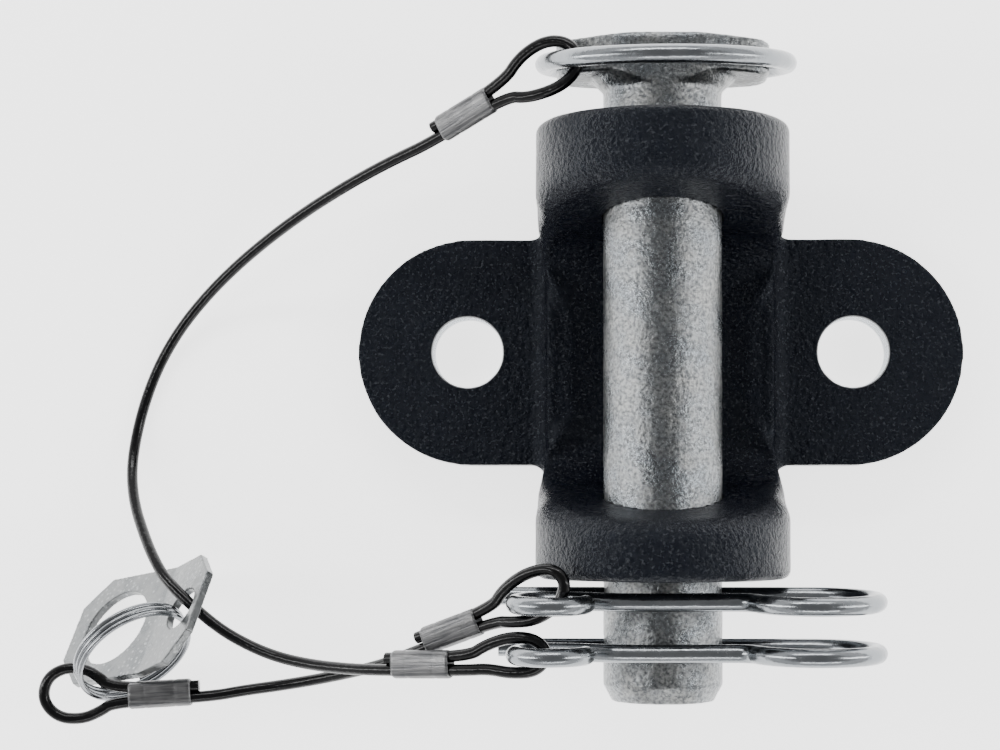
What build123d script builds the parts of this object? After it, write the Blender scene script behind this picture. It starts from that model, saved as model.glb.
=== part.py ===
from build123d import *
import os
from math import cos, pi, radians, sin, tan

# Bolt-on tow clevis with a T-headed pin, two hairpin clips and two coated wire lanyards.
# Millimetres. X runs through the two bolt ears, Y along the pin towards its head, Z away from
# the mounting face. The origin is midway between the bolt holes, on the mounting face.

os.makedirs("parts", exist_ok=True)

# ---- bracket ----
PIN_D = 31.75              # 1 1/4 inch pin
PIN_Z = 44.5               # pin axis above the mounting face
BORE_CLEARANCE = 0.09      # radial, pin in bore
LUG_R = 33.85              # rounded front of each lug, about the pin axis
LUG_TOP_Y = 58.3           # outer face at the pin's head
LUG_BOTTOM_Y = -62.3       # outer face at the clips
THROAT_TOP_Y = 33.1        # lug's inner face at the pin axis
THROAT_BOTTOM_Y = -40.1
THROAT_DRAFT = 12.5        # degrees, opening to the front
FLOOR_Z = 17.5             # rim of the base between the lugs
FLOOR_R = 23.0             # concave sweep from base to lug
TROUGH_DEPTH = 3.8
TROUGH_R = 80.0
WAIST_CUT = 3.9            # how far the base narrows on each side at mid-length
EAR_T = 12.7
EAR_R = 31.8
EAR_X = 53.0               # centre of each ear's round end
BOLT_X = 54.0
BOLT_D = 19.8              # clearance for 3/4 inch bolts
EAR_FILLET = 5.0
RAIL_X = 31.5              # outer side of the rails along the base
RAIL_REACH = 12.0          # the rails run this far into each lug
RAIL_W = 2.5
LUG_EDGE_R = 2.6
THROAT_EDGE_R = 6.5
PAST = 150.0               # cutters and stock reach this far, beyond every face

# ---- pin ----
PIN_END_Y = -94.5
HEAD_Y = 70.3              # underside of the head
HEAD_T = 10.1
HEAD_HALF = 28.3           # half length across X
HEAD_END_HALF = 10.0       # half depth at the ends
HEAD_MID_HALF = 16.0       # half depth at the shank, just over the pin's radius
HEAD_MID_X = 10.0
HEAD_CROWN_X = 8.0         # the top is flat this far out, then falls away
HEAD_CROWN_LEAN = 3.7      # degrees
HEAD_END_R = 8.2           # corner radii of the head's outline
HEAD_MID_R = 9.0
HEAD_RIM_R = 1.3
NECK_FLARE = 3.4
PIN_END_TAPER = 4.5        # along the pin
PIN_END_DROP = 2.4         # off its radius
CLIP_HOLE_D = 5.5

# ---- pull ring ----
RING_WIRE = 4.76
RING_R = 32.4              # to the wire's centre
RING_X = 0.9
RING_Y = 74.6
RING_TILT = 6.5            # front of the ring dips towards the lug

# ---- hairpins ----
CLIP_WIRE = 4.76
UPPER_CLIP_Y = -66.8
LOWER_CLIP_Y = -80.4
UPPER_CLIP_TILT = 2.5      # front of the clip leans away from the lug
LOWER_CLIP_TILT = 1.0
CLIP_END_X = -43.5         # free end of the straight leg
CLIP_EYE_X = 38.7
CLIP_EYE_R = 16.1
CLIP_OVER_PIN = 19.3       # outer leg above the straight leg, over the pin
SMALL_EYE_X = -29.0
SMALL_EYE_R = 9.07
SMALL_EYE_DIP = 14.6       # lowest point of the outer leg, under the small eye
EYE_LEAVE = 158.0          # degrees round the big eye where the outer leg leaves it
EYE_RUN_OUT = 5.2          # length of the turn from the eye into the outer leg

# ---- lanyards ----
CORD_D = 3.1
FERRULE_L = 17.0
FERRULE_W = 7.4
FERRULE_T = 4.6
STRAND_GAP = 3.12          # between the two strands' centres in a ferrule
STUB = 2.2                 # cut end beyond the ferrule
FERRULE_RIM_R = 0.35
BORE_SLACK = 0.005         # radial, cable in ferrule

# ---- split ring and tab ----
SPLIT_WIRE = 1.5
SPLIT_R = 15.75
SPLIT_TURNS = 3
SPLIT_PITCH = 1.56
SPLIT_CENTRE = Vector(-143.0, -82.4, 35.0)
SPLIT_NORMAL = Vector(0.527, -0.665, 0.529)

TAB_T = 2.3
TAB_SIDE = 34.4
TAB_CHAMFER = 8.5
TAB_HOLE_D = 23.4
TAB_BEND = 15.0            # degrees between plate and flange
TAB_FLANGE = 21.0
TAB_FLANGE_CHAMFER = 8.0
FLANGE_HOLE_D = 12.4
FLANGE_HOLE_U = 12.5       # hole centre out from the bend
FLANGE_HOLE_V = 17.0       # and along it
TAB_ORIGIN = Vector(-141.9, -88.4, 34.5)
TAB_ACROSS = Vector(0.8156, 0.1566, 0.5570)    # from the plate's free side to the bend
TAB_ALONG = Vector(0.2046, 0.8224, -0.5308)    # along the bend


def rod(start, end, radius):
    """A round bar from one point to another."""
    axis = Vector(*end) - Vector(*start)
    plane = Plane(origin=start, z_dir=axis)
    return plane * Cylinder(radius, axis.length, align=(Align.CENTER, Align.CENTER, Align.MIN))


def sweep_round(path, radius):
    """A round section swept along a wire."""
    section = Plane(origin=path @ 0, z_dir=path % 0) * Circle(radius)
    return sweep(section, path)


# ---------------------------------------------------------------- bracket

def throat(drop):
    """The space between the lugs, as a prism along X, its floor lowered by drop."""
    lean = tan(radians(THROAT_DRAFT))
    high = 2 * PIN_Z
    low = FLOOR_Z - drop
    outline = Polyline(
        (THROAT_BOTTOM_Y - (high - PIN_Z) * lean, high),
        (THROAT_BOTTOM_Y - (low - PIN_Z) * lean, low),
        (THROAT_TOP_Y + (low - PIN_Z) * lean, low),
        (THROAT_TOP_Y + (high - PIN_Z) * lean, high),
        close=True,
    )
    face = make_face(outline)
    corners = face.vertices().sort_by(Axis.Y)[0:2]
    face = fillet(corners, FLOOR_R)
    return extrude(Plane.YZ * face, 2 * LUG_R, both=True)


def bracket():
    length = LUG_TOP_Y - LUG_BOTTOM_Y
    middle = (LUG_TOP_Y + LUG_BOTTOM_Y) / 2
    block = Pos(0, middle, PIN_Z) * Rot(90, 0, 0) * Cylinder(LUG_R, length)
    block += Pos(0, middle, PIN_Z / 2) * Box(2 * LUG_R, length, PIN_Z)

    block -= throat(0)
    rims = [edge for edge in block.edges() if is_throat_rim(edge)]
    block = fillet(rims, THROAT_EDGE_R)
    rounded = [edge for edge in block.edges() if is_lug_outline(edge)]
    block = fillet(rounded, LUG_EDGE_R)

    trough = Pos(0, 0, FLOOR_Z - TROUGH_DEPTH + TROUGH_R) * Rot(90, 0, 0) * Cylinder(TROUGH_R, PAST)
    block -= throat(TROUGH_DEPTH) & trough

    throat_middle = (THROAT_TOP_Y + THROAT_BOTTOM_Y) / 2
    half = (THROAT_TOP_Y - THROAT_BOTTOM_Y) / 2
    waist_r = (half ** 2 + WAIST_CUT ** 2) / (2 * WAIST_CUT)
    for side in (-1, 1):
        waist_x = side * (LUG_R - WAIST_CUT + waist_r)
        block -= Pos(waist_x, throat_middle, 0) * Cylinder(waist_r, PAST)

    body = block + foot()

    body -= rod((0, -PAST, PIN_Z), (0, PAST, PIN_Z), PIN_D / 2 + BORE_CLEARANCE)
    for side in (-1, 1):
        body -= Pos(side * BOLT_X, 0, EAR_T / 2) * Cylinder(BOLT_D / 2, 4 * EAR_T)
    return body


def is_lug_outline(edge):
    """Edges round the two outer faces of the lugs, all but those at the mounting face."""
    box = edge.bounding_box()
    if box.size.Y > 0.01 or box.max.Z < 1:
        return False
    return abs(box.min.Y - LUG_TOP_Y) < 0.01 or abs(box.min.Y - LUG_BOTTOM_Y) < 0.01


def is_throat_rim(edge):
    """Edges where the throat's walls and floor break out of the rounded block."""
    box = edge.bounding_box()
    inside = LUG_BOTTOM_Y + 4 < box.min.Y and box.max.Y < LUG_TOP_Y - 4
    across = box.size.X > LUG_R and box.size.Z < 0.01
    return inside and box.min.Z > 1 and not across


def foot():
    """The two ears, blended into the rails that run along the base between the lugs."""
    height = EAR_T + EAR_FILLET
    middle = (THROAT_TOP_Y + THROAT_BOTTOM_Y) / 2
    length = THROAT_TOP_Y - THROAT_BOTTOM_Y + 2 * RAIL_REACH
    body = Pos(0, middle, height / 2) * Box(2 * RAIL_X, length, height)
    body += Pos(0, 0, EAR_T / 2) * Box(2 * EAR_X, 2 * EAR_R, EAR_T)
    corners = body.edges().filter_by(Axis.Z).filter_by(lambda e: is_corner(e.center()))
    body = fillet(corners, EAR_FILLET)
    for side in (-1, 1):
        body += Pos(side * EAR_X, 0, EAR_T / 2) * Cylinder(EAR_R, EAR_T)
    joint = body.edges().filter_by(lambda e: is_ear_joint(e))
    body = fillet(joint, EAR_FILLET - 0.01)
    hollow = Pos(0, 0, EAR_T + PAST / 2) * Box(2 * (RAIL_X - RAIL_W), PAST, PAST)
    return body - hollow


def is_corner(point):
    return abs(abs(point.X) - RAIL_X) < 0.01 and abs(abs(point.Y) - EAR_R) < 0.01


def is_ear_joint(edge):
    """Edges where the ears' top faces meet the rails."""
    box = edge.bounding_box()
    flat = box.size.Z < 0.01 and abs(box.max.Z - EAR_T) < 0.01
    return flat and box.size.X < 0.01 and abs(abs(edge.center().X) - RAIL_X) < 0.01


# ---------------------------------------------------------------- pin and pull ring

def pin():
    shank = rod((0, PIN_END_Y, PIN_Z), (0, HEAD_Y + 1, PIN_Z), PIN_D / 2)
    end_edge = shank.edges().sort_by(Axis.Y)[0]
    shank = chamfer(end_edge, PIN_END_TAPER, PIN_END_DROP)
    points = [(-HEAD_HALF, HEAD_END_HALF), (-HEAD_MID_X, HEAD_MID_HALF)]
    points += [(-x, z) for x, z in reversed(points)]
    points += [(x, -z) for x, z in reversed(points)]
    outline = make_face(Polyline(*points, close=True))
    ends = outline.vertices().filter_by(lambda v: abs(v.X) > HEAD_MID_X + 1)
    outline = fillet(ends, HEAD_END_R)
    middles = outline.vertices().filter_by(lambda v: abs(v.X) < HEAD_MID_X + 1)
    outline = fillet(middles, HEAD_MID_R)
    head_plane = Plane(origin=(0, HEAD_Y, PIN_Z), x_dir=(1, 0, 0), z_dir=(0, 1, 0))
    head = extrude(head_plane * outline, HEAD_T)
    rims = head.edges().filter_by(lambda e: e.bounding_box().size.Y < 0.01)
    head = fillet(rims, HEAD_RIM_R)
    for side in (-1, 1):
        corner = Pos(side * HEAD_CROWN_X, HEAD_Y + HEAD_T, PIN_Z) * Rot(0, 0, -side * HEAD_CROWN_LEAN)
        head -= corner * Pos(side * PAST / 2, PAST / 2, 0) * Box(PAST, PAST, PAST)

    flare_plane = Plane(origin=(0, HEAD_Y - NECK_FLARE, PIN_Z), x_dir=(1, 0, 0), z_dir=(0, 1, 0))
    height = NECK_FLARE + HEAD_RIM_R
    flare = flare_plane * Cone(
        PIN_D / 2, PIN_D / 2 + height, height, align=(Align.CENTER, Align.CENTER, Align.MIN)
    )
    flare &= extrude(flare_plane * outline, height)
    body = shank + flare + head
    for y in (UPPER_CLIP_Y, LOWER_CLIP_Y):
        body -= rod((-PAST, y, PIN_Z), (PAST, y, PIN_Z), CLIP_HOLE_D / 2)
    return body


def ring():
    tilted = Pos(RING_X, RING_Y, PIN_Z) * Rot(90 + RING_TILT, 0, 0)
    return tilted * Torus(RING_R, RING_WIRE / 2)


# ---------------------------------------------------------------- hairpins

def arc_points(centre, radius, start, end, steps):
    """Points along an arc in the clip's own plane, angles in degrees."""
    found = []
    for step in range(steps + 1):
        angle = radians(start + (end - start) * step / steps)
        found.append((centre[0] + radius * cos(angle), centre[1] + radius * sin(angle)))
    return found


def hairpin(y, tilt):
    """One spring clip: straight leg, big round eye, outer leg over the pin, small eye."""
    eye = (CLIP_EYE_X, CLIP_EYE_R)
    small = (SMALL_EYE_X, SMALL_EYE_DIP + SMALL_EYE_R)
    first = arc_points(eye, CLIP_EYE_R, -90, EYE_LEAVE, 2)
    last = arc_points(small, SMALL_EYE_R, -90, -352, 2)
    leaving = (-sin(radians(EYE_LEAVE)), cos(radians(EYE_LEAVE)))
    leg = Line((CLIP_END_X, 0), first[0])
    loop = ThreePointArc(*first)
    curl = ThreePointArc(*last)
    turn_end = (first[-1][0] - EYE_RUN_OUT, CLIP_OVER_PIN - 0.6)
    turn = TangentArc(first[-1], turn_end, tangent=leaving)
    over = Spline(
        turn @ 1, (2.0, CLIP_OVER_PIN + 0.6), (-13.5, CLIP_OVER_PIN - 0.4), last[0],
        tangents=(turn % 1, (-1, 0)),
    )
    flat = Wire([leg, loop, turn, over, curl])
    lean = radians(tilt)
    plane = Plane(origin=(0, y, PIN_Z), x_dir=(1, 0, 0), z_dir=(0, -cos(lean), -sin(lean)))
    return sweep_round(plane * flat, CLIP_WIRE / 2)


# ---------------------------------------------------------------- lanyards

class Ferrule:
    """A crimped sleeve that holds two strands side by side."""

    def __init__(self, centre, towards_loop):
        self.centre = Vector(*centre)
        self.axis = Vector(*towards_loop).normalized()
        self.side = Vector(0, 0, 1).cross(self.axis).normalized()
        if self.side.Y < 0:
            self.side = self.side * -1

    def point(self, strand, along):
        """A point on a strand's centre line: strand is 1 or -1, along is from the middle."""
        return self.centre + self.side * (strand * STRAND_GAP / 2) + self.axis * along

    def solid(self):
        start = self.centre - self.axis * (FERRULE_L / 2)
        plane = Plane(origin=start, x_dir=self.side, z_dir=self.axis)
        flat = SlotOverall(FERRULE_W, FERRULE_T)
        body = extrude(plane * flat, FERRULE_L)
        ends = body.edges().filter_by(lambda e: self.is_end(e))
        body = fillet(ends, FERRULE_RIM_R)
        for strand in (-1, 1):
            low = self.point(strand, -FERRULE_L)
            high = self.point(strand, FERRULE_L)
            body -= rod(low, high, CORD_D / 2 + BORE_SLACK)
        return body

    def is_end(self, edge):
        middle = (edge.center() - self.centre).dot(self.axis)
        return abs(abs(middle) - FERRULE_L / 2) < 0.01


RING_FERRULE = Ferrule((-52.2, 61.2, 46.2), (0.806, 0.397, 0.438))
LOWER_CLIP_FERRULE = Ferrule((-62.6, -84.0, 57.8), (0.908, 0.033, 0.418))
UPPER_CLIP_FERRULE = Ferrule((-54.8, -75.4, 57.2), (0.845, 0.330, 0.420))
TAB_FERRULE = Ferrule((-135.7, -93.9, 33.8), (-0.998, -0.062, 0.0))

BEFORE = -FERRULE_L / 2 - 5.0      # strand leaves the ferrule for the long run
AFTER = FERRULE_L / 2 + 4.4        # strand leaves it for the loop
CUT = -FERRULE_L / 2 - STUB

RING_LOOP = [
    (-37.4, 75.0, 55.0), (-29.8, 78.8, 57.8), (-23.2, 76.8, 59.2),
    (-22.0, 70.8, 59.2), (-26.4, 66.2, 58.0), (-35.4, 63.8, 54.8),
]
LONG_RUN = [
    (-72.0, 51.0, 35.4), (-81.6, 47.0, 30.4), (-91.2, 42.4, 25.4), (-100.8, 37.2, 20.4),
    (-110.4, 31.2, 15.4), (-119.8, 24.4, 10.8), (-128.6, 16.6, 7.0), (-136.6, 7.6, 4.2),
    (-143.0, -2.6, 2.4), (-147.4, -13.8, 1.8), (-149.8, -24.8, 2.8), (-150.0, -34.0, 6.4),
    (-147.8, -42.6, 12.2), (-143.8, -50.4, 19.2), (-139.4, -57.6, 26.0), (-134.2, -64.2, 31.4),
    (-121.8, -74.8, 34.2), (-113.4, -79.9, 34.8), (-104.0, -83.6, 37.0), (-94.0, -85.4, 41.0),
    (-84.4, -86.0, 46.4),
]
LOWER_CLIP_LOOP = [
    (-45.5, -78.4, 64.6), (-38.8, -76.2, 67.2), (-32.4, -76.8, 68.9), (-29.6, -80.8, 69.4),
    (-32.4, -84.9, 68.9), (-38.8, -85.6, 67.2), (-45.3, -84.6, 64.8),
]
UPPER_CLIP_LOOP = [
    (-41.2, -64.2, 65.2), (-35.2, -59.9, 68.6), (-28.6, -58.6, 71.4), (-24.9, -62.0, 72.3),
    (-26.6, -67.8, 71.2), (-32.4, -71.9, 69.2), (-39.0, -72.7, 66.4),
]
SHORT_RUN = [
    (-73.5, -84.8, 46.4), (-83.5, -87.6, 40.2), (-93.5, -89.9, 35.4), (-103.5, -91.7, 32.8),
    (-113.0, -93.0, 32.6),
]
TAB_LOOP = [
    (-153.8, -88.0, 34.0), (-160.6, -86.5, 34.2), (-166.4, -89.4, 34.2), (-167.8, -95.6, 34.0),
    (-163.6, -100.4, 33.8), (-156.8, -100.8, 33.8), (-151.8, -98.6, 33.8),
]

LONG_LANYARD = (
    [RING_FERRULE.point(1, CUT), RING_FERRULE.point(1, AFTER)]
    + RING_LOOP
    + [RING_FERRULE.point(-1, AFTER), RING_FERRULE.point(-1, BEFORE)]
    + LONG_RUN
    + [LOWER_CLIP_FERRULE.point(-1, BEFORE), LOWER_CLIP_FERRULE.point(-1, AFTER)]
    + LOWER_CLIP_LOOP[::-1]
    + [LOWER_CLIP_FERRULE.point(1, AFTER), LOWER_CLIP_FERRULE.point(1, CUT)]
)
SHORT_LANYARD = (
    [UPPER_CLIP_FERRULE.point(1, CUT), UPPER_CLIP_FERRULE.point(1, AFTER)]
    + UPPER_CLIP_LOOP
    + [UPPER_CLIP_FERRULE.point(-1, AFTER), UPPER_CLIP_FERRULE.point(-1, BEFORE)]
    + SHORT_RUN
    + [TAB_FERRULE.point(-1, BEFORE), TAB_FERRULE.point(-1, AFTER)]
    + TAB_LOOP[::-1]
    + [TAB_FERRULE.point(1, AFTER), TAB_FERRULE.point(1, CUT)]
)


def lanyard(name, route):
    """A round tube along straight runs joined by arcs as large as the runs allow."""
    points = [Vector(*point) for point in route]
    radii = []
    for before, here, after in zip(points, points[1:], points[2:]):
        shorter = min((here - before).length, (after - here).length)
        turn = radians((here - before).get_angle(after - here))
        radii.append(0.45 * shorter / tan(turn / 2))
    path = FilletPolyline(*points, radius=radii)
    cord = sweep_round(path, CORD_D / 2)
    expected = pi * (CORD_D / 2) ** 2 * path.length
    print(name, "length", round(path.length, 1), "volume ratio", round(cord.volume / expected, 4))
    print("  radii", [round(r, 1) for r in radii])
    return cord


# ---------------------------------------------------------------- split ring and tab

def split_ring():
    height = SPLIT_TURNS * SPLIT_PITCH
    start = SPLIT_CENTRE - SPLIT_NORMAL.normalized() * (height / 2)
    coil = Helix(pitch=SPLIT_PITCH, height=height, radius=SPLIT_R)
    path = Plane(origin=start, z_dir=SPLIT_NORMAL) * Wire(coil)
    return sweep_round(path, SPLIT_WIRE / 2)


def tab():
    """A square plate with cut corners and a flange bent up along one side."""
    normal = TAB_ACROSS.cross(TAB_ALONG).normalized()
    bend = radians(TAB_BEND)
    outward = TAB_ACROSS.normalized() * cos(bend) + normal * sin(bend)
    plate_plane = Plane(origin=TAB_ORIGIN, x_dir=TAB_ACROSS, z_dir=normal)
    flange_plane = Plane(origin=TAB_ORIGIN, x_dir=outward, z_dir=outward.cross(TAB_ALONG))
    end_plane = Plane(origin=TAB_ORIGIN, x_dir=TAB_ACROSS, z_dir=normal.cross(TAB_ACROSS))

    mitre = TAB_T * tan(bend / 2)
    reach = (TAB_FLANGE * cos(bend), TAB_FLANGE * sin(bend))
    section = Polyline(
        (-TAB_SIDE, 0), (0, 0), reach,
        (reach[0] + TAB_T * sin(bend), reach[1] - TAB_T * cos(bend)),
        (mitre, -TAB_T), (-TAB_SIDE, -TAB_T),
        close=True,
    )
    # the end plane's second axis runs against the plate's normal
    flipped = mirror(make_face(section), about=Plane.XZ)
    body = extrude(end_plane * flipped, TAB_SIDE)

    plate = Polyline(
        (1, 0), (1, TAB_SIDE), (TAB_CHAMFER - TAB_SIDE, TAB_SIDE), (-TAB_SIDE, TAB_SIDE - TAB_CHAMFER),
        (-TAB_SIDE, TAB_CHAMFER), (TAB_CHAMFER - TAB_SIDE, 0),
        close=True,
    )
    shoulder = TAB_FLANGE - TAB_FLANGE_CHAMFER
    flange = Polyline(
        (-1, 0), (shoulder, 0), (TAB_FLANGE, TAB_FLANGE_CHAMFER),
        (TAB_FLANGE, TAB_SIDE - TAB_FLANGE_CHAMFER),
        (shoulder, TAB_SIDE), (-1, TAB_SIDE),
        close=True,
    )
    outline = extrude(plate_plane * make_face(plate), 2 * TAB_T, both=True)
    outline += extrude(flange_plane * make_face(flange), 2 * TAB_T, both=True)
    body &= outline

    bolt_hole = Pos(-TAB_SIDE / 2, TAB_SIDE / 2, 0) * Cylinder(TAB_HOLE_D / 2, 4 * TAB_T)
    ring_hole = Pos(FLANGE_HOLE_U, FLANGE_HOLE_V, 0) * Cylinder(FLANGE_HOLE_D / 2, 4 * TAB_T)
    body -= plate_plane * bolt_hole
    body -= flange_plane * ring_hole
    return body


clevis_bracket = bracket()
export_step(clevis_bracket, "parts/clevis_bracket.step")
hitch_pin = pin()
export_step(hitch_pin, "parts/hitch_pin.step")
pull_ring = ring()
export_step(pull_ring, "parts/pull_ring.step")
upper_hairpin = hairpin(UPPER_CLIP_Y, UPPER_CLIP_TILT)
export_step(upper_hairpin, "parts/upper_hairpin.step")
lower_hairpin = hairpin(LOWER_CLIP_Y, LOWER_CLIP_TILT)
export_step(lower_hairpin, "parts/lower_hairpin.step")
for name, ferrule in (
    ("ring_ferrule", RING_FERRULE), ("lower_clip_ferrule", LOWER_CLIP_FERRULE),
    ("upper_clip_ferrule", UPPER_CLIP_FERRULE), ("tab_ferrule", TAB_FERRULE),
):
    export_step(ferrule.solid(), "parts/" + name + ".step")
export_step(lanyard("long_lanyard", LONG_LANYARD), "parts/long_lanyard.step")
export_step(lanyard("short_lanyard", SHORT_LANYARD), "parts/short_lanyard.step")
export_step(split_ring(), "parts/split_ring.step")
export_step(tab(), "parts/anchor_tab.step")
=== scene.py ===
from math import cos, pi, sin

import bpy
from mathutils import Matrix, Vector, noise


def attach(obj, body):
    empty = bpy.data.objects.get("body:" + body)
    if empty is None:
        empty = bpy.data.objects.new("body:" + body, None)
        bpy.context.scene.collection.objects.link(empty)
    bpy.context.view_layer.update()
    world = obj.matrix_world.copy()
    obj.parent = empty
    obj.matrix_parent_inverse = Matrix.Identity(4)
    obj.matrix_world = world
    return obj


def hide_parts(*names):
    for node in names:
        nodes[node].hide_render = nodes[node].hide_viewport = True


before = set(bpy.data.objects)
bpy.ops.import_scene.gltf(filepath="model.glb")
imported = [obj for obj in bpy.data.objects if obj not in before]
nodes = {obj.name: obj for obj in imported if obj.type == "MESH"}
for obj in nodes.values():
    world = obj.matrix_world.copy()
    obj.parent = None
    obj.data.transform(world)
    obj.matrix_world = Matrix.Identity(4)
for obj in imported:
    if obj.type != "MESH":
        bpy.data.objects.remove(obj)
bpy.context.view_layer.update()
scene = bpy.context.scene

# Metres, in the part's own frame: X through the ears, Y along the pin, Z from the mounting face.
PIN_Z = 0.0445
PIN_R = 0.015875
BOLT_X = 0.054
BOLT_R = 0.0099
RIM = 0.0004                 # how far the bare metal spreads round each bolt hole
CORD_D = 0.0031
FERRULE_L = 0.017
FERRULE_W = 0.0074
FERRULE_T = 0.0046
STRAND_GAP = 0.00312         # between the two strands' centres in a ferrule
STUB = 0.0022                # cut end beyond the ferrule
CORE_WIRE_R = 0.00034        # one of the seven wires in the cable's core
SKIN_MARGIN = 0.0006         # the bracket's skin stays smooth this near a bore or its mounting face

AIM = (0, 0, 0.03)           # what every lamp points at
LAMPS = (                    # name, place, size, watts
    ("back", (-0.1, 0.85, 0.7), (1.0, 0.14), 5.0),
    ("front", (0.1, -0.85, 0.7), (1.0, 0.14), 3.0),
    ("left", (-0.87, 0.0, 0.52), (0.14, 0.9), 4.5),
    ("right", (0.87, 0.0, 0.52), (0.14, 0.9), 3.6),
)
SKY = (                      # height and brightness: 0 is the horizon and below, 1 is straight up
    (0.0, 0.9),
    (0.3, 1.3),
    (0.5, 1.05),
    (0.64, 0.55),
    (0.8, 0.36),
    (1.0, 0.33),
)
FLOOR_SIZE = 6.0
FLOOR_DROP = 0.0002          # keeps the floor clear of the mounting face


# ---------------------------------------------------------------- camera, light and floor

def add_camera():
    """Looks down on the part from 0.62 m, about two degrees off square."""
    camera = bpy.data.cameras.new("camera")
    camera.sensor_width = 36.0
    camera.lens = 78.55
    camera.shift_x = -0.06
    camera.shift_y = 0.0625
    camera.clip_start = 0.05
    holder = bpy.data.objects.new("camera", camera)
    holder.location = (-0.01283, -0.04188, 0.6233)
    holder.rotation_euler = (0.0294, 0.02486, 0.00039)
    scene.collection.objects.link(holder)
    scene.camera = holder


def add_light(name, place, size, watts):
    light = bpy.data.lights.new(name, "AREA")
    light.shape = "RECTANGLE"
    light.size = size[0]
    light.size_y = size[1]
    light.energy = watts
    holder = bpy.data.objects.new(name, light)
    holder.location = place
    away = Vector(place) - Vector(AIM)
    holder.rotation_euler = away.to_track_quat("Z", "Y").to_euler()
    scene.collection.objects.link(holder)


def add_world():
    """A pale studio, brightest a little above the horizon and dimmest straight above."""
    world = bpy.data.worlds.new("studio")
    scene.world = world
    world.use_nodes = True
    tree = world.node_tree
    background = tree.nodes["Background"]
    place = tree.nodes.new("ShaderNodeTexCoord")
    split = tree.nodes.new("ShaderNodeSeparateXYZ")
    ramp = tree.nodes.new("ShaderNodeValToRGB")
    while len(ramp.color_ramp.elements) < len(SKY):
        ramp.color_ramp.elements.new(0.5)
    for element, (position, level) in zip(ramp.color_ramp.elements, SKY):
        element.position = position
        element.color = (level, level, level * 1.01, 1)
    tree.links.new(place.outputs["Generated"], split.inputs[0])
    tree.links.new(split.outputs["Z"], ramp.inputs[0])
    tree.links.new(ramp.outputs[0], background.inputs["Color"])
    background.inputs["Strength"].default_value = 1.0


def add_floor():
    bpy.ops.mesh.primitive_plane_add(size=FLOOR_SIZE, location=(0, 0, -FLOOR_DROP))
    floor = bpy.context.object
    floor.name = "floor"
    look = Look("floor_paper")
    look.set("Roughness", 0.9)
    look.set("Base Color", (0.93, 0.93, 0.93, 1))
    look.set("Emission Color", (1, 1, 1, 1))
    look.set("Emission Strength", 2.2)
    floor.data.materials.append(look.material)


# ---------------------------------------------------------------- materials

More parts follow.
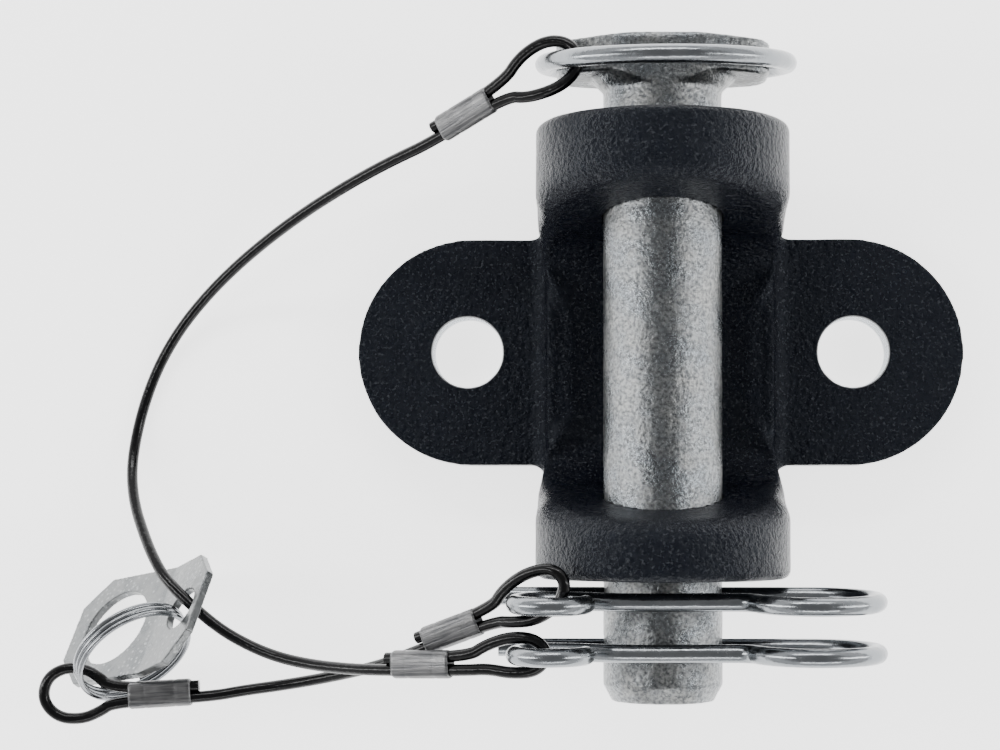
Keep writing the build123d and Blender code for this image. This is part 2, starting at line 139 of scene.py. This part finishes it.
class Look:
    """One procedural material, built node by node around a Principled shader."""

    def __init__(self, name):
        self.material = bpy.data.materials.new(name)
        self.material.use_nodes = True
        self.tree = self.material.node_tree
        self.shader = self.tree.nodes["Principled BSDF"]
        self.place = self.tree.nodes.new("ShaderNodeTexCoord").outputs["Object"]
        self.normal = None

    def set(self, socket, value):
        self.shader.inputs[socket].default_value = value

    def drive(self, socket, source):
        self.tree.links.new(source, self.shader.inputs[socket])

    def stretched(self, factors):
        """The object's own coordinates, scaled unevenly for a drawn or brushed grain."""
        node = self.tree.nodes.new("ShaderNodeVectorMath")
        node.operation = "MULTIPLY"
        self.tree.links.new(self.place, node.inputs[0])
        node.inputs[1].default_value = factors
        return node.outputs[0]

    def noise(self, size, detail=2.0, rough=0.5, place=None):
        """Soft noise whose features are about size metres across."""
        node = self.tree.nodes.new("ShaderNodeTexNoise")
        node.inputs["Scale"].default_value = 1.0 / size
        node.inputs["Detail"].default_value = detail
        node.inputs["Roughness"].default_value = rough
        self.tree.links.new(place or self.place, node.inputs["Vector"])
        return node.outputs[0]

    def cells(self, size):
        """Irregular cells about size metres across, dark at their middles."""
        node = self.tree.nodes.new("ShaderNodeTexVoronoi")
        node.inputs["Scale"].default_value = 1.0 / size
        self.tree.links.new(self.place, node.inputs["Vector"])
        return node.outputs["Distance"]

    def spread(self, source, start, end, low, high):
        """source from start..end mapped to low..high, and held there outside it."""
        node = self.tree.nodes.new("ShaderNodeMapRange")
        self.tree.links.new(source, node.inputs[0])
        for index, value in enumerate((start, end, low, high), 1):
            node.inputs[index].default_value = value
        return node.outputs[0]

    def combine(self, operation, first, second):
        node = self.tree.nodes.new("ShaderNodeMath")
        node.operation = operation
        for index, value in enumerate((first, second)):
            if isinstance(value, (int, float)):
                node.inputs[index].default_value = value
            else:
                self.tree.links.new(value, node.inputs[index])
        return node.outputs[0]

    def colour(self, factor, first, second):
        """A colour that runs from first to second as factor goes from 0 to 1."""
        node = self.tree.nodes.new("ShaderNodeMix")
        node.data_type = "RGBA"
        self.tree.links.new(factor, node.inputs["Factor"])
        for socket, value in (("A", first), ("B", second)):
            target = [s for s in node.inputs if s.name == socket and s.type == "RGBA"][0]
            if isinstance(value, tuple):
                target.default_value = (*value, 1)
            else:
                self.tree.links.new(value, target)
        return [s for s in node.outputs if s.type == "RGBA"][0]

    def from_axis(self, point, along):
        """Distance from a line through point along X, Y or Z."""
        minus = self.tree.nodes.new("ShaderNodeVectorMath")
        minus.operation = "SUBTRACT"
        self.tree.links.new(self.place, minus.inputs[0])
        minus.inputs[1].default_value = point
        flat = self.tree.nodes.new("ShaderNodeVectorMath")
        flat.operation = "MULTIPLY"
        self.tree.links.new(minus.outputs[0], flat.inputs[0])
        flat.inputs[1].default_value = [0.0 if axis == along else 1.0 for axis in "XYZ"]
        length = self.tree.nodes.new("ShaderNodeVectorMath")
        length.operation = "LENGTH"
        self.tree.links.new(flat.outputs[0], length.inputs[0])
        return length.outputs["Value"]

    def relief(self, height, depth):
        """Adds a bump of depth metres, on top of those before it."""
        node = self.tree.nodes.new("ShaderNodeBump")
        node.inputs["Strength"].default_value = 1.0
        node.inputs["Distance"].default_value = depth
        self.tree.links.new(height, node.inputs["Height"])
        if self.normal is not None:
            self.tree.links.new(self.normal, node.inputs["Normal"])
        self.normal = node.outputs[0]
        self.drive("Normal", self.normal)


def black_paint():
    """Gloss black over a rough forging, with bare bolt holes."""
    look = Look("gloss_black_forging")
    broad = look.noise(0.012, 3.0)
    grain = look.noise(0.0012, 3.0, 0.6)
    dust = look.spread(look.noise(0.004, 4.0, 0.6), 0.5, 0.75, 0.0, 1.0)
    skin = look.colour(dust, (0.0007, 0.0014, 0.0042), (0.0018, 0.0030, 0.0070))
    # painted glints: lighter specks in the paint's own colour stand for tiny highlights on the glossy
    # skin
    glints = look.spread(look.noise(0.0009, 2.0, 0.5), 0.57, 0.69, 0.0, 1.0)
    paint_and_glints = look.colour(glints, skin, (0.024, 0.026, 0.030))
    left = look.from_axis((-BOLT_X, 0, 0), "Z")
    right = look.from_axis((BOLT_X, 0, 0), "Z")
    nearer = look.combine("MINIMUM", left, right)
    bare = look.spread(nearer, BOLT_R + RIM / 8, BOLT_R + RIM, 1.0, 0.0)
    metal = look.colour(look.noise(0.0015, 3.0), (0.42, 0.42, 0.42), (0.66, 0.66, 0.65))
    look.drive("Base Color", look.colour(bare, paint_and_glints, metal))
    look.drive("Metallic", look.combine("MULTIPLY", bare, 0.6))
    look.drive("Roughness", look.spread(broad, 0.3, 0.7, 0.20, 0.30))
    look.set("Specular IOR Level", 0.18)
    look.set("Specular Tint", (0.82, 0.90, 1.0, 1))
    look.relief(look.noise(0.0055, 2.0), 0.00030)
    look.relief(grain, 0.00080)
    return look.material


def cast_zinc():
    """Zinc plate over a rough forged bar, with painted shade darkening its pits."""
    look = Look("zinc_forging")
    blotch = look.noise(0.008, 4.0, 0.6)
    grain = look.noise(0.0009, 3.0, 0.65)
    # painted shade: the base colour darkens where the grain relief is low, standing for shade in the
    # pits
    pit_shade = look.spread(grain, 0.36, 0.60, 0.0, 1.0)
    cloud = look.spread(blotch, 0.35, 0.65, 0, 1)
    high = look.colour(cloud, (0.21, 0.228, 0.242), (0.30, 0.305, 0.297))
    look.drive("Base Color", look.colour(pit_shade, (0.10, 0.105, 0.11), high))
    look.set("Metallic", 0.95)
    look.drive("Roughness", look.spread(blotch, 0.3, 0.7, 0.22, 0.34))
    look.relief(look.noise(0.0035, 2.0), 0.00012)
    look.relief(grain, 0.00022)
    return look.material


def bright_wire():
    look = Look("bright_zinc_wire")
    tone = look.noise(0.005, 3.0)
    look.drive("Base Color", look.colour(tone, (0.19, 0.207, 0.222), (0.29, 0.30, 0.31)))
    look.set("Metallic", 1.0)
    look.drive("Roughness", look.spread(look.noise(0.003, 3.0), 0.35, 0.7, 0.16, 0.29))
    look.relief(look.noise(0.0014, 2.0), 0.00006)
    return look.material


def ring_steel():
    look = Look("bright_spring_steel")
    tone = look.noise(0.003, 2.0)
    look.drive("Base Color", look.colour(tone, (0.20, 0.21, 0.225), (0.31, 0.32, 0.33)))
    look.set("Metallic", 1.0)
    look.drive("Roughness", look.spread(tone, 0.35, 0.7, 0.16, 0.28))
    look.relief(look.noise(0.0008, 2.0), 0.00003)
    return look.material


def galvanized_sheet():
    look = Look("galvanized_sheet")
    cloud = look.noise(0.007, 4.0, 0.6)
    fine = look.noise(0.0008, 3.0, 0.6)
    flecks = look.spread(look.cells(0.0016), 0.05, 0.35, 1.0, 0.0)
    mottle = look.spread(cloud, 0.35, 0.65, 0, 1)
    sheet = look.colour(mottle, (0.14, 0.148, 0.152), (0.215, 0.22, 0.22))
    look.drive("Base Color", look.colour(flecks, sheet, (0.30, 0.31, 0.31)))
    look.set("Metallic", 0.95)
    look.drive("Roughness", look.spread(cloud, 0.35, 0.7, 0.24, 0.38))
    look.relief(look.noise(0.003, 2.0), 0.0002)
    look.relief(fine, 0.00006)
    return look.material


def ferrule_aluminium():
    """Drawn aluminium: the grain runs along the sleeve, which is Z in its own frame."""
    look = Look("drawn_aluminium")
    grain = look.noise(0.0007, 3.0, 0.6, look.stretched((1.0, 1.0, 0.06)))
    cloud = look.noise(0.003, 3.0)
    drawn = look.spread(grain, 0.35, 0.65, 0, 1)
    look.drive("Base Color", look.colour(drawn, (0.085, 0.086, 0.09), (0.20, 0.20, 0.20)))
    look.set("Metallic", 0.9)
    look.drive("Roughness", look.spread(cloud, 0.3, 0.7, 0.30, 0.46))
    look.relief(grain, 0.00012)
    return look.material


def black_vinyl():
    look = Look("black_vinyl")
    tone = look.noise(0.004, 3.0)
    look.drive("Base Color", look.colour(tone, (0.0006, 0.0006, 0.0009), (0.0016, 0.0016, 0.0020)))
    look.drive("Roughness", look.spread(look.noise(0.002, 3.0), 0.3, 0.7, 0.14, 0.25))
    look.set("Specular IOR Level", 0.30)
    look.relief(look.noise(0.0016, 2.0), 0.00010)
    return look.material


def wire_core():
    look = Look("cut_steel_core")
    tone = look.noise(0.0004, 2.0)
    look.drive("Base Color", look.colour(tone, (0.35, 0.35, 0.36), (0.60, 0.60, 0.60)))
    look.set("Metallic", 0.9)
    look.set("Roughness", 0.4)
    look.relief(tone, 0.00008)
    return look.material


def dress(piece, material):
    piece.data.materials.clear()
    piece.data.materials.append(material)


# ---------------------------------------------------------------- forged and pressed parts

def even_copy(node, name, voxel, smooth):
    """A node's shape as an even fine mesh, its sharp edges rounded by smooth passes."""
    start = bpy.data.objects.new(name + "_start", nodes[node].data.copy())
    scene.collection.objects.link(start)
    remesh = start.modifiers.new("even", "REMESH")
    remesh.mode = "VOXEL"
    remesh.voxel_size = voxel
    soften = start.modifiers.new("soften", "SMOOTH")
    soften.factor = 0.5
    soften.iterations = smooth
    view = bpy.context.evaluated_depsgraph_get()
    mesh = bpy.data.meshes.new_from_object(start.evaluated_get(view))
    bpy.data.objects.remove(start)
    mesh.name = name
    piece = bpy.data.objects.new(name, mesh)
    scene.collection.objects.link(piece)
    mesh.shade_smooth()
    return piece


def unit_noise(point, frequency):
    """Noise from 0 to 1 whose features are about 1 / frequency metres across."""
    return noise.noise(point * frequency) * 0.5 + 0.5


def roughen(piece, depth):
    """Moves each point inwards by depth(point) metres."""
    mesh = piece.data
    moves = []
    for vertex in mesh.vertices:
        moves.append(vertex.normal * -depth(vertex.co))
    for vertex, move in zip(mesh.vertices, moves):
        vertex.co += move


def bracket_depth(point):
    """Hammered skin, left plain in the bores and on the face that bolts down."""
    from_pin = Vector((point.x, 0, point.z - PIN_Z)).length
    from_bolt = Vector((abs(point.x) - BOLT_X, point.y, 0)).length
    in_bore = from_pin < PIN_R + SKIN_MARGIN or from_bolt < BOLT_R + SKIN_MARGIN
    if in_bore or point.z < SKIN_MARGIN:
        return 0.0
    return 0.00022 * unit_noise(point, 90) + 0.00006 * unit_noise(point, 420)


def pin_depth(point):
    """Hammered skin all over, a little finer than the bracket's."""
    return 0.00010 * unit_noise(point, 160) + 0.00014 * unit_noise(point, 560)


def add_bracket():
    piece = even_copy("clevis_bracket", "bracket_forging", voxel=0.0007, smooth=1)
    roughen(piece, bracket_depth)
    dress(piece, black_paint())
    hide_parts("clevis_bracket")
    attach(piece, "bracket")


def add_pin():
    piece = even_copy("hitch_pin", "pin_forging", voxel=0.0006, smooth=3)
    roughen(piece, pin_depth)
    dress(piece, cast_zinc())
    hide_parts("hitch_pin")
    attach(piece, "pin")


def add_tab():
    piece = even_copy("anchor_tab", "tab_pressing", voxel=0.00028, smooth=3)
    dress(piece, galvanized_sheet())
    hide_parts("anchor_tab")
    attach(piece, "tab")
    return piece


# ---------------------------------------------------------------- shared mesh making

def tube_faces(first, rings, steps):
    """The sides and both end caps of a tube whose points start at number first."""
    faces = []
    for ring in range(rings - 1):
        for step in range(steps):
            a = first + ring * steps + step
            b = first + ring * steps + (step + 1) % steps
            faces.append((a, b, b + steps, a + steps))
    last = first + (rings - 1) * steps
    faces.append(tuple(reversed(range(first, first + steps))))
    faces.append(tuple(range(last, last + steps)))
    return faces


def mesh_piece(name, vertices, faces, place):
    """A smooth-shaded mesh object that stands at the matrix place."""
    mesh = bpy.data.meshes.new(name)
    mesh.from_pydata(vertices, [], faces)
    mesh.shade_smooth()
    piece = bpy.data.objects.new(name, mesh)
    scene.collection.objects.link(piece)
    piece.matrix_world = place
    return piece


# ---------------------------------------------------------------- ferrules

class Ferrule:
    """Where a crimped sleeve lies, and the strands' places in it."""

    def __init__(self, name, centre, towards_loop):
        self.name = name
        self.centre = Vector(centre)
        self.axis = Vector(towards_loop).normalized()
        self.side = Vector((0, 0, 1)).cross(self.axis).normalized()
        if self.side.y < 0:
            self.side = -self.side

    def point(self, strand, along):
        return self.centre + self.side * (strand * STRAND_GAP / 2) + self.axis * along

    def matrix(self):
        up = self.axis.cross(self.side)
        turn = Matrix((self.side, up, self.axis)).transposed().to_4x4()
        return Matrix.Translation(self.centre) @ turn


def sleeve_outline(width, thick, steps):
    """A flat-sided oval, one point each step, with the sides crimped a little hollow."""
    half = (width - thick) / 2
    points = []
    for step in range(steps):
        angle = 2 * pi * step / steps
        middle = half * max(-1.0, min(1.0, 2.2 * cos(angle)))
        waist = 1 - 0.06 * max(0.0, abs(sin(angle)) - 0.8) / 0.2
        points.append((middle + thick / 2 * cos(angle), thick / 2 * sin(angle) * waist))
    return points


def sleeve_scale(along):
    """Size of the outline at along, -0.5 to 0.5: rounded at the ends, with two crimping marks."""
    end = max(0.0, abs(along) - 0.455) / 0.045
    mark = 0.028 * (1 - min(1.0, abs(abs(along) - 0.24) / 0.035))
    return 1.0 - 0.09 * end ** 2 - max(0.0, mark)


def add_ferrule(place, node, metal):
    """A crimped sleeve, its two mouths sunk a little way in and closed there."""
    steps = 56
    stations = 41
    mouth_depth = 0.0012
    mouth = (FERRULE_L / 2, 0.80)
    mouth_floor = (FERRULE_L / 2 - mouth_depth, 0.74)
    rings = [(-mouth_floor[0], mouth_floor[1]), (-mouth[0], mouth[1])]
    for index in range(stations):
        along = -0.5 + index / (stations - 1)
        rings.append((along * FERRULE_L, sleeve_scale(along)))
    rings += [mouth, mouth_floor]
    vertices = []
    for z, scale in rings:
        for x, y in sleeve_outline(FERRULE_W * scale, FERRULE_T * scale, steps):
            vertices.append((x, y, z))
    faces = tube_faces(0, len(rings), steps)
    piece = mesh_piece(place.name, vertices, faces, place.matrix())
    dress(piece, metal)
    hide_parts(node)
    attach(piece, "pin")
    return piece


# ---------------------------------------------------------------- lanyards

RING_FERRULE = Ferrule("sleeve_at_ring", (-0.0522, 0.0612, 0.0462), (0.806, 0.397, 0.438))
LOWER_CLIP_FERRULE = Ferrule("sleeve_at_lower_clip", (-0.0626, -0.0840, 0.0578), (0.908, 0.033, 0.418))
UPPER_CLIP_FERRULE = Ferrule("sleeve_at_upper_clip", (-0.0548, -0.0754, 0.0572), (0.845, 0.330, 0.420))
TAB_FERRULE = Ferrule("sleeve_at_tab", (-0.1357, -0.0939, 0.0338), (-0.998, -0.062, 0.0))

BEFORE = -FERRULE_L / 2 - 0.0050    # a strand leaves the ferrule for the long run
AFTER = FERRULE_L / 2 + 0.0044      # and for the loop
CUT = -FERRULE_L / 2 - STUB         # its cut end, on the side away from the loop

RING_LOOP = [
    (-0.0374, 0.0750, 0.0550), (-0.0298, 0.0788, 0.0578), (-0.0232, 0.0768, 0.0592),
    (-0.0220, 0.0708, 0.0592), (-0.0264, 0.0662, 0.0580), (-0.0354, 0.0638, 0.0548),
]
LONG_RUN = [
    (-0.0720, 0.0510, 0.0354), (-0.0816, 0.0470, 0.0304), (-0.0912, 0.0424, 0.0254),
    (-0.1008, 0.0372, 0.0204), (-0.1104, 0.0312, 0.0154), (-0.1198, 0.0244, 0.0108),
    (-0.1286, 0.0166, 0.0070), (-0.1366, 0.0076, 0.0042), (-0.1430, -0.0026, 0.0024),
    (-0.1474, -0.0138, 0.0018), (-0.1498, -0.0248, 0.0028), (-0.1500, -0.0340, 0.0064),
    (-0.1478, -0.0426, 0.0122), (-0.1438, -0.0504, 0.0192), (-0.1394, -0.0576, 0.0260),
    (-0.1342, -0.0642, 0.0314), (-0.1218, -0.0748, 0.0342), (-0.1134, -0.0799, 0.0348),
    (-0.1040, -0.0836, 0.0370), (-0.0940, -0.0854, 0.0410), (-0.0844, -0.0860, 0.0464),
]
LOWER_CLIP_LOOP = [
    (-0.0455, -0.0784, 0.0646), (-0.0388, -0.0762, 0.0672), (-0.0324, -0.0768, 0.0689),
    (-0.0296, -0.0808, 0.0694), (-0.0324, -0.0849, 0.0689), (-0.0388, -0.0856, 0.0672),
    (-0.0453, -0.0846, 0.0648),
]
UPPER_CLIP_LOOP = [
    (-0.0412, -0.0642, 0.0652), (-0.0352, -0.0599, 0.0686), (-0.0286, -0.0586, 0.0714),
    (-0.0249, -0.0620, 0.0723), (-0.0266, -0.0678, 0.0712), (-0.0324, -0.0719, 0.0692),
    (-0.0390, -0.0727, 0.0664),
]
SHORT_RUN = [
    (-0.0735, -0.0848, 0.0464), (-0.0835, -0.0876, 0.0402), (-0.0935, -0.0899, 0.0354),
    (-0.1035, -0.0917, 0.0328), (-0.1130, -0.0930, 0.0326),
]
TAB_LOOP = [
    (-0.1538, -0.0880, 0.0340), (-0.1606, -0.0865, 0.0342), (-0.1664, -0.0894, 0.0342),
    (-0.1678, -0.0956, 0.0340), (-0.1636, -0.1004, 0.0338), (-0.1568, -0.1008, 0.0338),
    (-0.1518, -0.0986, 0.0338),
]

LONG_LANYARD = (
    [RING_FERRULE.point(1, CUT), RING_FERRULE.point(1, AFTER)]
    + RING_LOOP
    + [RING_FERRULE.point(-1, AFTER), RING_FERRULE.point(-1, BEFORE)]
    + LONG_RUN
    + [LOWER_CLIP_FERRULE.point(-1, BEFORE), LOWER_CLIP_FERRULE.point(-1, AFTER)]
    + LOWER_CLIP_LOOP[::-1]
    + [LOWER_CLIP_FERRULE.point(1, AFTER), LOWER_CLIP_FERRULE.point(1, CUT)]
)
SHORT_LANYARD = (
    [UPPER_CLIP_FERRULE.point(1, CUT), UPPER_CLIP_FERRULE.point(1, AFTER)]
    + UPPER_CLIP_LOOP
    + [UPPER_CLIP_FERRULE.point(-1, AFTER), UPPER_CLIP_FERRULE.point(-1, BEFORE)]
    + SHORT_RUN
    + [TAB_FERRULE.point(-1, BEFORE), TAB_FERRULE.point(-1, AFTER)]
    + TAB_LOOP[::-1]
    + [TAB_FERRULE.point(1, AFTER), TAB_FERRULE.point(1, CUT)]
)


def add_lanyard(name, route, node, material):
    """A vinyl-coated cable along one smooth curve."""
    curve = bpy.data.curves.new(name, "CURVE")
    curve.dimensions = "3D"
    spline = curve.splines.new("NURBS")
    spline.points.add(len(route) - 1)
    for point, place in zip(spline.points, route):
        point.co = (*place, 1)
    spline.order_u = 3
    spline.use_endpoint_u = True
    spline.resolution_u = 16
    curve.bevel_depth = CORD_D / 2
    curve.bevel_resolution = 8
    curve.use_fill_caps = True
    piece = bpy.data.objects.new(name, curve)
    scene.collection.objects.link(piece)
    dress(piece, material)
    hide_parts(node)
    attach(piece, "pin")
    return piece


def add_core(name, end, inner, metal):
    """The cut end of the steel cable inside the vinyl: six wires round a seventh."""
    away = (Vector(end) - Vector(inner)).normalized()
    turn = away.to_track_quat("Z", "X").to_matrix().to_4x4()
    centres = [(0.0, 0.0)]
    for index in range(6):
        angle = pi / 3 * index
        centres.append((2 * CORE_WIRE_R * cos(angle), 2 * CORE_WIRE_R * sin(angle)))
    sunk = 0.0004
    shoulder = 0.00006
    tip = 0.00012
    rings = ((-sunk, CORE_WIRE_R), (shoulder, CORE_WIRE_R), (tip, CORE_WIRE_R * 0.7))
    steps = 12
    vertices = []
    faces = []
    for x, y in centres:
        faces += tube_faces(len(vertices), len(rings), steps)
        for z, radius in rings:
            for step in range(steps):
                angle = 2 * pi * step / steps
                vertices.append((x + radius * cos(angle), y + radius * sin(angle), z))
    piece = mesh_piece(name, vertices, faces, Matrix.Translation(end) @ turn)
    dress(piece, metal)
    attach(piece, "pin")
    return piece


# ---------------------------------------------------------------- the scene

add_camera()
add_world()
for lamp in LAMPS:
    add_light(*lamp)
add_floor()

wire_metal = bright_wire()
sleeve_metal = ferrule_aluminium()
vinyl = black_vinyl()
core_metal = wire_core()

add_bracket()
add_pin()
tab_piece = add_tab()
for node in ("pull_ring", "upper_hairpin", "lower_hairpin"):
    dress(nodes[node], wire_metal)
dress(nodes["split_ring"], ring_steel())

ring_ferrule = add_ferrule(RING_FERRULE, "ring_ferrule", sleeve_metal)
lower_ferrule = add_ferrule(LOWER_CLIP_FERRULE, "lower_clip_ferrule", sleeve_metal)
upper_ferrule = add_ferrule(UPPER_CLIP_FERRULE, "upper_clip_ferrule", sleeve_metal)
tab_ferrule = add_ferrule(TAB_FERRULE, "tab_ferrule", sleeve_metal)

long_lanyard = add_lanyard("lanyard_long", LONG_LANYARD, "long_lanyard", vinyl)
short_lanyard = add_lanyard("lanyard_short", SHORT_LANYARD, "short_lanyard", vinyl)
long_cores = [
    add_core("core_at_ring", LONG_LANYARD[0], LONG_LANYARD[1], core_metal),
    add_core("core_at_lower_clip", LONG_LANYARD[-1], LONG_LANYARD[-2], core_metal),
]
short_cores = [
    add_core("core_at_upper_clip", SHORT_LANYARD[0], SHORT_LANYARD[1], core_metal),
    add_core("core_at_tab", SHORT_LANYARD[-1], SHORT_LANYARD[-2], core_metal),
]
